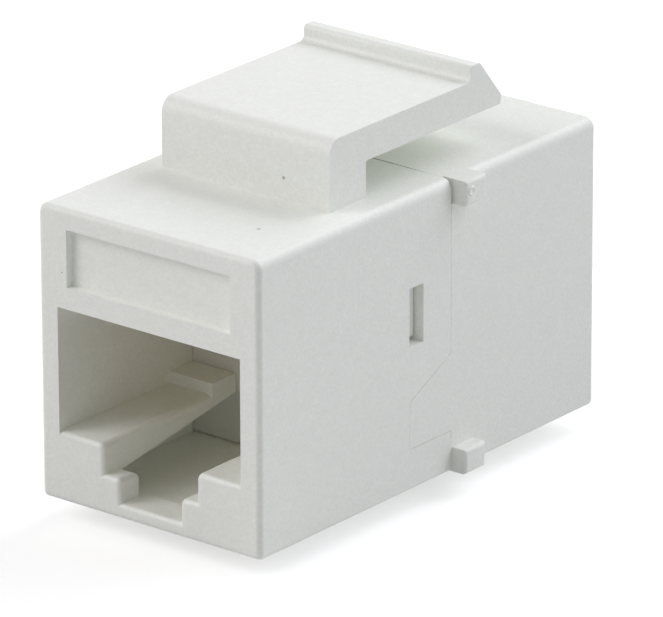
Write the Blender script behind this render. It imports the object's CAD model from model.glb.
import math

import bpy
import numpy as np
from mathutils import Matrix, Vector


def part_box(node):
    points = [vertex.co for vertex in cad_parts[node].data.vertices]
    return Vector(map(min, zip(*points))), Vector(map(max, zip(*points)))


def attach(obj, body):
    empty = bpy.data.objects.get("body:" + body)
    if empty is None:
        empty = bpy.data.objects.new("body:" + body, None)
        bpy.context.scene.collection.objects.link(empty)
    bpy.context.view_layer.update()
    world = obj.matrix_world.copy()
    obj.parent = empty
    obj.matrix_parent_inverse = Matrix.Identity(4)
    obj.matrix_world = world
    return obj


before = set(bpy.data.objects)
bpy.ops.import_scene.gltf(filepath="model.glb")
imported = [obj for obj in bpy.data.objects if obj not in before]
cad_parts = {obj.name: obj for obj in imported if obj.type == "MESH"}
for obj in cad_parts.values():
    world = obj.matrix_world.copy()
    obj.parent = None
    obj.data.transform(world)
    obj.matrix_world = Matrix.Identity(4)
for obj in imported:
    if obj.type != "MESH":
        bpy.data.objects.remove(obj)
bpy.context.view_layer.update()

MM = 0.001
white = (1.0, 1.0, 1.0, 1.0)

# Camera: azimuth turns from straight in front towards the right-hand side, all angles in degrees
camera_azimuth = 38.788
camera_elevation = 20.746
camera_roll = -0.178
camera_distance = 407.3 * MM
camera_lens = 427.04
camera_sensor = 36.0
camera_aim = Vector((0.61, 0.08, 9.16)) * MM
nearest_seen = 0.01
farthest_seen = 20.0

# Studio: floor, fill light, and the name, azimuth, elevation, watts and colour of each softbox
floor_size = 6.0
floor_albedo = 0.7
floor_roughness = 0.9
floor_lift = 0.56
fill_level = 0.2
diffuse_bounces = 8
softbox_size = 0.6
softbox_distance = 0.9
cool_white = (0.958, 0.985, 1.06)
soft_white = (1.005, 0.985, 1.0)
even_white = (0.985, 0.985, 1.03)
softboxes = (("rear right", 125, 30, 2.05, cool_white),
             ("front left", -45, 35, 3.85, soft_white),
             ("rear", 169, 43, 3.8, even_white),
             ("high front", 0, 62, 0.6, soft_white))

# Mould grain: scale and depth of its pits beside its fine grain, and what makes up its tone
pit_scale = 0.6
pit_depth = 0.6
tone_from_mottle = 0.3
tone_from_grain = 0.6

# Specks: smallest size, range of sizes, and where their rims end and start, as shares of a radius
speck_smallest = 0.5
speck_range = 0.8
speck_rim = 1.0
speck_core = 0.5

# Finishes: a relief is how high a bump of full strength stands
plastic_relief = 0.014 * MM
plastic_ior = 1.53
gloss_drift = 0.05
speck_shade = 0.55
drawn_out = (1.0, 0.12, 0.12)
resist_grain = 5.0
resist_roughness = 0.3
resist_deep = (0.015, 0.10, 0.04, 1)
resist_pale = (0.03, 0.17, 0.07, 1)
weave_strength = 0.3
weave_relief = 0.02 * MM

# Moulded edges: the tiny radius that every mould leaves on its corners
shell_edge = 0.015 * MM
insert_edge = 0.03 * MM
contact_edge = 0.03 * MM
edge_segments = 2
weld_distance = 0.002 * MM
flat_angle = math.radians(0.6)
corner_angle = math.radians(28)

# Solder joints round the pins
joint_pad_radius = 0.42 * MM
joint_neck_radius = 0.26 * MM
joint_pad_height = 0.03 * MM
joint_height = 0.42 * MM
contact_thickness = 0.35 * MM

# Moulding gate marks on the outer faces of the two top ears, which start at ear_front along Y
gate_radius = 0.28 * MM
gate_crest_radius = 0.2 * MM
gate_crest_height = 0.06 * MM
gate_innermost_radius = 0.02 * MM
gate_floor_height = 0.008 * MM
gate_sink = 0.02 * MM
gate_from_ear_front = 0.42 * MM
gate_from_ear_top = 0.58 * MM
ear_front = 1.77 * MM

# Steps round the turned forms, and along their profiles
turn_steps = 24
profile_steps = 10

# A colour mix's sockets share their names with its other kinds of mix, so they go by number
mix_inputs = (0, 6, 7)
mix_output = 2


def connect(tree, value, socket):
    """Set a socket to a plain value, or link it to another node's output."""
    if isinstance(value, bpy.types.NodeSocket):
        tree.links.new(value, socket)
    else:
        socket.default_value = value


def feed(tree, node, **sockets):
    """Connect some of a node's sockets by name, where an underscore stands for a space."""
    for name, value in sockets.items():
        connect(tree, value, node.inputs[name.replace("_", " ")])
    return node


def add(tree, kind, settings=None, **sockets):
    """New node of one kind, with its settings made before its sockets are fed."""
    made = tree.nodes.new(kind)
    for name, value in (settings or {}).items():
        setattr(made, name, value)
    return feed(tree, made, **sockets)


def maths(tree, operation, first, second=0.0):
    """Output of one maths node."""
    made = add(tree, "ShaderNodeMath", {"operation": operation})
    connect(tree, first, made.inputs[0])
    connect(tree, second, made.inputs[1])
    return made.outputs[0]


def blend_colours(tree, amount, first, second):
    """Colour between two, by an amount from 0 to 1."""
    made = add(tree, "ShaderNodeMix", {"data_type": "RGBA"})
    for index, value in zip(mix_inputs, (amount, first, second)):
        connect(tree, value, made.inputs[index])
    return made.outputs[mix_output]


def group(name, inputs, outputs):
    """Empty shader node group; an input is its name, kind and start value, an output its name."""
    tree = bpy.data.node_groups.new(name, "ShaderNodeTree")
    for label, kind, value in inputs:
        socket = tree.interface.new_socket(label, in_out="INPUT", socket_type=kind)
        if value is not None:
            socket.default_value = value
    for label in outputs:
        tree.interface.new_socket(label, in_out="OUTPUT", socket_type="NodeSocketFloat")
    return tree, tree.nodes.new("NodeGroupInput"), tree.nodes.new("NodeGroupOutput")


def make_mould_grain():
    """Spark-eroded mould texture: height of its pits, and the tone's fine grain and slow mottle."""
    tree, given, out = group(
        "mould grain",
        [("Place", "NodeSocketVector", None),
         ("Grains per mm", "NodeSocketFloat", 9.0),
         ("Mottles per mm", "NodeSocketFloat", 1.6)],
        ["Height", "Tone", "Mottle"])
    place = given.outputs["Place"]
    fine = maths(tree, "DIVIDE", given.outputs["Grains per mm"], MM)
    slow = maths(tree, "DIVIDE", given.outputs["Mottles per mm"], MM)
    grain = add(tree, "ShaderNodeTexNoise", Vector=place, Scale=fine, Detail=3.0, Roughness=0.6)
    pits = add(tree, "ShaderNodeTexVoronoi", {"feature": "SMOOTH_F1"}, Vector=place,
               Scale=maths(tree, "MULTIPLY", fine, pit_scale), Smoothness=0.7)
    depth = maths(tree, "MULTIPLY", pits.outputs["Distance"], pit_depth)
    height = maths(tree, "ADD", grain.outputs["Fac"], depth)
    mottle = add(tree, "ShaderNodeTexNoise", Vector=place, Scale=slow, Detail=4.0, Roughness=0.55)
    tone = maths(tree, "ADD",
                 maths(tree, "MULTIPLY", mottle.outputs["Fac"], tone_from_mottle),
                 maths(tree, "MULTIPLY", height, tone_from_grain))
    feed(tree, out, Height=height, Tone=tone, Mottle=mottle.outputs["Fac"])
    return tree


def make_specks():
    """Sparse dark specks: a few cells of a cell pattern hold one small spot each."""
    tree, given, out = group(
        "specks",
        [("Place", "NodeSocketVector", None),
         ("Cells per mm", "NodeSocketFloat", 0.5),
         ("Share of cells", "NodeSocketFloat", 0.05),
         ("Radius in mm", "NodeSocketFloat", 0.1)],
        ["Mask"])
    per_metre = maths(tree, "DIVIDE", given.outputs["Cells per mm"], MM)
    cells = add(tree, "ShaderNodeTexVoronoi", Vector=given.outputs["Place"], Scale=per_metre)
    chance = add(tree, "ShaderNodeSeparateColor", Color=cells.outputs["Color"])
    chosen = maths(tree, "LESS_THAN", chance.outputs[0], given.outputs["Share of cells"])
    size = maths(tree, "ADD", maths(tree, "MULTIPLY", chance.outputs[1], speck_range),
                 speck_smallest)
    radius = maths(tree, "MULTIPLY", given.outputs["Radius in mm"], given.outputs["Cells per mm"])
    reach = maths(tree, "DIVIDE", cells.outputs["Distance"], maths(tree, "MULTIPLY", radius, size))
    spot = add(tree, "ShaderNodeMapRange", {"interpolation_type": "SMOOTHSTEP"}, Value=reach,
               From_Min=speck_rim, From_Max=speck_core)
    feed(tree, out, Mask=maths(tree, "MULTIPLY", spot.outputs[0], chosen))
    return tree


def make_weave():
    """Glass weave under a resist: height is the product of two sine waves, across and upwards."""
    tree, given, out = group(
        "laminate weave",
        [("Place", "NodeSocketVector", None),
         ("Threads per mm", "NodeSocketFloat", 2.2)],
        ["Height"])
    turns = maths(tree, "MULTIPLY", given.outputs["Threads per mm"], math.pi / MM)
    parts = add(tree, "ShaderNodeSeparateXYZ", Vector=given.outputs["Place"])
    across = maths(tree, "SINE", maths(tree, "MULTIPLY", parts.outputs["X"], turns))
    upwards = maths(tree, "SINE", maths(tree, "MULTIPLY", parts.outputs["Z"], turns))
    feed(tree, out, Height=maths(tree, "MULTIPLY", across, upwards))
    return tree


def material(name):
    """New material, with its node tree and its Principled shader."""
    made = bpy.data.materials.new(name)
    made.use_nodes = True
    return made, made.node_tree, made.node_tree.nodes["Principled BSDF"]


def place_on(tree):
    """Place on the object's surface, in the object's own coordinates."""
    return tree.nodes.new("ShaderNodeTexCoord").outputs["Object"]


def between(tree, amount, low, high):
    """Value that runs from low to high as an amount goes from 0 to 1."""
    return add(tree, "ShaderNodeMapRange", Value=amount, To_Min=low, To_Max=high).outputs[0]


def moulded_plastic(name, pale, deep, roughness, grain, speck_share, bump):
    """Satin moulded plastic: tone drifts between pale and deep, with grain, mottle and specks."""
    made, tree, shader = material(name)
    place = place_on(tree)
    texture = add(tree, "ShaderNodeGroup", {"node_tree": mould_grain}, Place=place,
                  Grains_per_mm=grain)
    spots = add(tree, "ShaderNodeGroup", {"node_tree": specks}, Place=place,
                Share_of_cells=speck_share)
    tone = blend_colours(tree, texture.outputs["Tone"], deep, pale)
    dark = tuple(speck_shade * part for part in deep[:3]) + (1.0,)
    relief = add(tree, "ShaderNodeBump", Height=texture.outputs["Height"], Strength=bump,
                 Distance=plastic_relief)
    feed(tree, shader, IOR=plastic_ior, Normal=relief.outputs[0],
         Base_Color=blend_colours(tree, spots.outputs["Mask"], tone, dark),
         Roughness=between(tree, texture.outputs["Mottle"], roughness - gloss_drift,
                           roughness + gloss_drift))
    return made


def bright_metal(name, pale, deep, glossiest, dullest, grain, stretch=(1.0, 1.0, 1.0)):
    """Bare metal: tone drifts between pale and deep, and its grain breaks up the gloss.

    A stretch under 1 along an axis draws the grain out along that axis.
    """
    made, tree, shader = material(name)
    place = add(tree, "ShaderNodeMapping", Vector=place_on(tree), Scale=stretch)
    texture = add(tree, "ShaderNodeGroup", {"node_tree": mould_grain}, Place=place.outputs[0],
                  Grains_per_mm=grain)
    feed(tree, shader, Metallic=1.0,
         Base_Color=blend_colours(tree, texture.outputs["Mottle"], deep, pale),
         Roughness=between(tree, texture.outputs["Height"], glossiest, dullest))
    return made


def solder_resist(name):
    """Green resist over the laminate's weave."""
    made, tree, shader = material(name)
    place = place_on(tree)
    texture = add(tree, "ShaderNodeGroup", {"node_tree": mould_grain}, Place=place,
                  Grains_per_mm=resist_grain)
    weave = add(tree, "ShaderNodeGroup", {"node_tree": laminate_weave}, Place=place)
    relief = add(tree, "ShaderNodeBump", Height=weave.outputs["Height"], Strength=weave_strength,
                 Distance=weave_relief)
    feed(tree, shader, Roughness=resist_roughness, Normal=relief.outputs[0],
         Base_Color=blend_colours(tree, texture.outputs["Mottle"], resist_deep, resist_pale))
    return made


def smooth_faces():
    """Modifier tree that shades every face smooth, so that the weighted normals can act."""
    tree = bpy.data.node_groups.new("smooth faces", "GeometryNodeTree")
    tree.interface.new_socket("Geometry", in_out="INPUT", socket_type="NodeSocketGeometry")
    tree.interface.new_socket("Geometry", in_out="OUTPUT", socket_type="NodeSocketGeometry")
    given = tree.nodes.new("NodeGroupInput")
    out = tree.nodes.new("NodeGroupOutput")
    smooth = add(tree, "GeometryNodeSetShadeSmooth", Geometry=given.outputs[0])
    feed(tree, out, Geometry=smooth.outputs[0])
    return tree


def finish_edges(piece, width):
    """Join a node's triangles into flat faces, round its corners a little and even its shading."""
    weld = piece.modifiers.new("join corners", "WELD")
    weld.merge_threshold = weld_distance
    flat = piece.modifiers.new("flat faces", "DECIMATE")
    flat.decimate_type = "DISSOLVE"
    flat.angle_limit = flat_angle
    smooth = piece.modifiers.new("smooth faces", "NODES")
    smooth.node_group = smoothing
    bevel = piece.modifiers.new("mould radius", "BEVEL")
    bevel.width = width
    bevel.segments = edge_segments
    bevel.limit_method = "ANGLE"
    bevel.angle_limit = corner_angle
    piece.modifiers.new("even shading", "WEIGHTED_NORMAL")


def dress(piece, finish, width):
    """Give a CAD node its material and its moulded edges."""
    piece.data.materials.clear()
    piece.data.materials.append(finish)
    finish_edges(piece, width)


def show(name, corners, faces):
    """New object in the scene, with a mesh of these corners and faces."""
    mesh = bpy.data.meshes.new(name)
    mesh.from_pydata(corners, [], faces)
    made = bpy.data.objects.new(name, mesh)
    bpy.context.scene.collection.objects.link(made)
    return made


def turned_forms(name, radius, height, centres, axes):
    """Closed forms of revolution, all alike, one round each axis.

    A corner is its centre, plus its height times the axis, plus its radius times the cosine and
    the sine of its angle along two directions square to the axis. The profile starts and ends in
    a pole on the axis, at the height of its first and of its last ring.
    """
    angle = np.arange(turn_steps) * (2 * math.pi / turn_steps)
    across = np.roll(axes, 1, axis=1)
    round_way = (np.cos(angle)[None, :, None] * across[:, None, :]
                 + np.sin(angle)[None, :, None] * np.cross(axes, across)[:, None, :])
    rings = (centres[:, None, None, :] + height[None, :, None, None] * axes[:, None, None, :]
             + radius[None, :, None, None] * round_way[:, None, :, :])
    poles = centres[:, None, :] + height[[0, -1]][None, :, None] * axes[:, None, :]
    corners = np.concatenate([rings.reshape(-1, 3), poles.reshape(-1, 3)])

    forms, levels = rings.shape[:2]
    index = np.arange(forms * levels * turn_steps).reshape(forms, levels, turn_steps)
    ahead = np.roll(index, -1, axis=2)
    quads = np.stack([index[:, :-1], ahead[:, :-1], ahead[:, 1:], index[:, 1:]], axis=-1)
    pole = index.size + np.arange(2 * forms).reshape(forms, 2, 1) + np.zeros_like(index[:, :1])
    under = np.stack([pole[:, 0], ahead[:, 0], index[:, 0]], axis=-1)
    over = np.stack([pole[:, 1], index[:, -1], ahead[:, -1]], axis=-1)
    faces = (quads.reshape(-1, 4).tolist() + under.reshape(-1, 3).tolist()
             + over.reshape(-1, 3).tolist())

    made = show(name, corners.tolist(), faces)
    smooth = np.ones(len(made.data.polygons), dtype=bool)
    made.data.polygons.foreach_set("use_smooth", smooth)
    return made


def solder_joints():
    """Fillet of solder round each pin where it leaves the board.

    The profile is a quarter arc that starts flat on the pad and ends upright on the pin: the
    radius falls with the sine of the turn, and the height rises with one minus its cosine.
    """
    turn = np.linspace(0, math.pi / 2, profile_steps)
    radius = joint_neck_radius + (joint_pad_radius - joint_neck_radius) * (1 - np.sin(turn))
    height = joint_pad_height + (joint_height - joint_pad_height) * (1 - np.cos(turn))
    radius = np.concatenate([[joint_pad_radius], radius])
    height = np.concatenate([[0.0], height])
    board_low, board_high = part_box("circuit_board")
    centres = []
    axes = []
    for name in sorted(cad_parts):
        if "_contact_" not in name or name.endswith("_carrier"):
            continue
        low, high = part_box(name)
        front = name.startswith("front_")
        board_face = board_high[1] if front else board_low[1]
        centres.append(((low[0] + high[0]) / 2, board_face, high[2] - contact_thickness / 2))
        axes.append((0.0, 1.0 if front else -1.0, 0.0))
    return turned_forms("solder_joints", radius, height, np.array(centres), np.array(axes))


def gate_marks():
    """Small ring that the moulding gate leaves on each top ear.

    The height follows a parabola across the ring's crest and never falls under the dimple's
    floor.
    """
    radius = np.linspace(gate_radius, gate_innermost_radius, 2 * profile_steps)
    off_crest = (radius - gate_crest_radius) / (gate_radius - gate_crest_radius)
    height = np.maximum(gate_floor_height, gate_crest_height * (1 - off_crest ** 2))
    radius = np.concatenate([[gate_radius], radius])
    height = np.concatenate([[-gate_sink], height])
    low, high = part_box("rear_housing")
    y = ear_front + gate_from_ear_front
    z = high[2] - gate_from_ear_top
    centres = np.array([(high[0], y, z), (low[0], y, z)])
    axes = np.array([(1.0, 0.0, 0.0), (-1.0, 0.0, 0.0)])
    return turned_forms("gate_marks", radius, height, centres, axes)


def seen_directly(tree):
    """1 for rays that the camera, a gloss or a glass sends, 0 for rays that carry light."""
    path = tree.nodes.new("ShaderNodeLightPath")
    shown = maths(tree, "MAXIMUM", path.outputs["Is Camera Ray"], path.outputs["Is Glossy Ray"])
    return maths(tree, "MAXIMUM", shown, path.outputs["Is Transmission Ray"])


def make_floor():
    """Pale floor, with a lift to white that only direct views get and that leaves its shadow."""
    half = floor_size / 2
    floor = show("floor", [(-half, -half, 0), (half, -half, 0), (half, half, 0), (-half, half, 0)],
                 [(0, 1, 2, 3)])
    made, tree, shader = material("pale floor")
    feed(tree, shader, Base_Color=(floor_albedo,) * 3 + (1,), Roughness=floor_roughness,
         Specular_IOR_Level=0.0, Emission_Color=white,
         Emission_Strength=maths(tree, "MULTIPLY", seen_directly(tree), floor_lift))
    floor.data.materials.append(made)


def make_world():
    """Soft even fill that shows as white."""
    world = bpy.data.worlds.new("studio")
    world.use_nodes = True
    tree = world.node_tree
    feed(tree, tree.nodes["Background"],
         Color=blend_colours(tree, seen_directly(tree), soft_white + (1,), white),
         Strength=between(tree, seen_directly(tree), fill_level, 1.0))
    bpy.context.scene.world = world


def aimed(azimuth, elevation, roll, distance, target):
    """Place at a distance from target, its local Z pointing back from the target."""
    turn = math.radians(azimuth)
    rise = math.radians(elevation)
    level = math.cos(rise)
    back = Vector((math.sin(turn) * level, -math.cos(turn) * level, math.sin(rise)))
    right = Vector((math.cos(turn), math.sin(turn), 0))
    spin = Matrix.Rotation(math.radians(roll), 4, "Z")
    basis = Matrix((right, back.cross(right), back)).transposed().to_4x4()
    return Matrix.Translation(target + back * distance) @ basis @ spin


def softbox(name, azimuth, elevation, power, colour):
    """Square soft light aimed at the object from an azimuth and an elevation."""
    lamp = bpy.data.lights.new(name, "AREA")
    lamp.color = colour
    lamp.shape = "SQUARE"
    lamp.size = softbox_size
    lamp.energy = power
    made = bpy.data.objects.new(name, lamp)
    made.matrix_world = aimed(azimuth, elevation, 0.0, softbox_distance, camera_aim)
    bpy.context.scene.collection.objects.link(made)


def make_camera():
    """Long lens from the front right and a little above."""
    lens = bpy.data.cameras.new("camera")
    lens.lens = camera_lens
    lens.sensor_width = camera_sensor
    lens.clip_start = nearest_seen
    lens.clip_end = farthest_seen
    made = bpy.data.objects.new("camera", lens)
    made.matrix_world = aimed(camera_azimuth, camera_elevation, camera_roll, camera_distance,
                              camera_aim)
    bpy.context.scene.collection.objects.link(made)
    bpy.context.scene.camera = made


mould_grain = make_mould_grain()
specks = make_specks()
laminate_weave = make_weave()
smoothing = smooth_faces()

white_shell = moulded_plastic(
    "white shell", pale=(0.966, 0.986, 0.932, 1), deep=(0.785, 0.801, 0.758, 1),
    roughness=0.45, grain=10.0, speck_share=0.3, bump=0.7)
off_white = moulded_plastic(
    "off-white insert", pale=(0.83, 0.83, 0.80, 1), deep=(0.73, 0.73, 0.70, 1),
    roughness=0.5, grain=7.0, speck_share=0.02, bump=0.5)
gold = bright_metal(
    "gold plate", pale=(0.92, 0.70, 0.32, 1), deep=(0.80, 0.56, 0.20, 1),
    glossiest=0.16, dullest=0.30, grain=14.0, stretch=drawn_out)
resist = solder_resist("solder resist")
solder = bright_metal(
    "solder", pale=(0.72, 0.72, 0.71, 1), deep=(0.52, 0.53, 0.54, 1),
    glossiest=0.22, dullest=0.42, grain=12.0)

for name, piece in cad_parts.items():
    if name.endswith("_housing"):
        dress(piece, white_shell, shell_edge)
    elif name.endswith("_carrier"):
        dress(piece, off_white, insert_edge)
    elif name == "circuit_board":
        dress(piece, resist, insert_edge)
    else:
        dress(piece, gold, contact_edge)

for piece, finish, slot in ((solder_joints(), solder, "contact"),
                            (gate_marks(), white_shell, "white_shell")):
    piece.data.materials.append(finish)
    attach(piece, "root")

make_camera()
make_floor()
make_world()
for settings in softboxes:
    softbox(*settings)

bpy.context.scene.view_settings.view_transform = "Standard"
bpy.context.scene.cycles.diffuse_bounces = diffuse_bounces
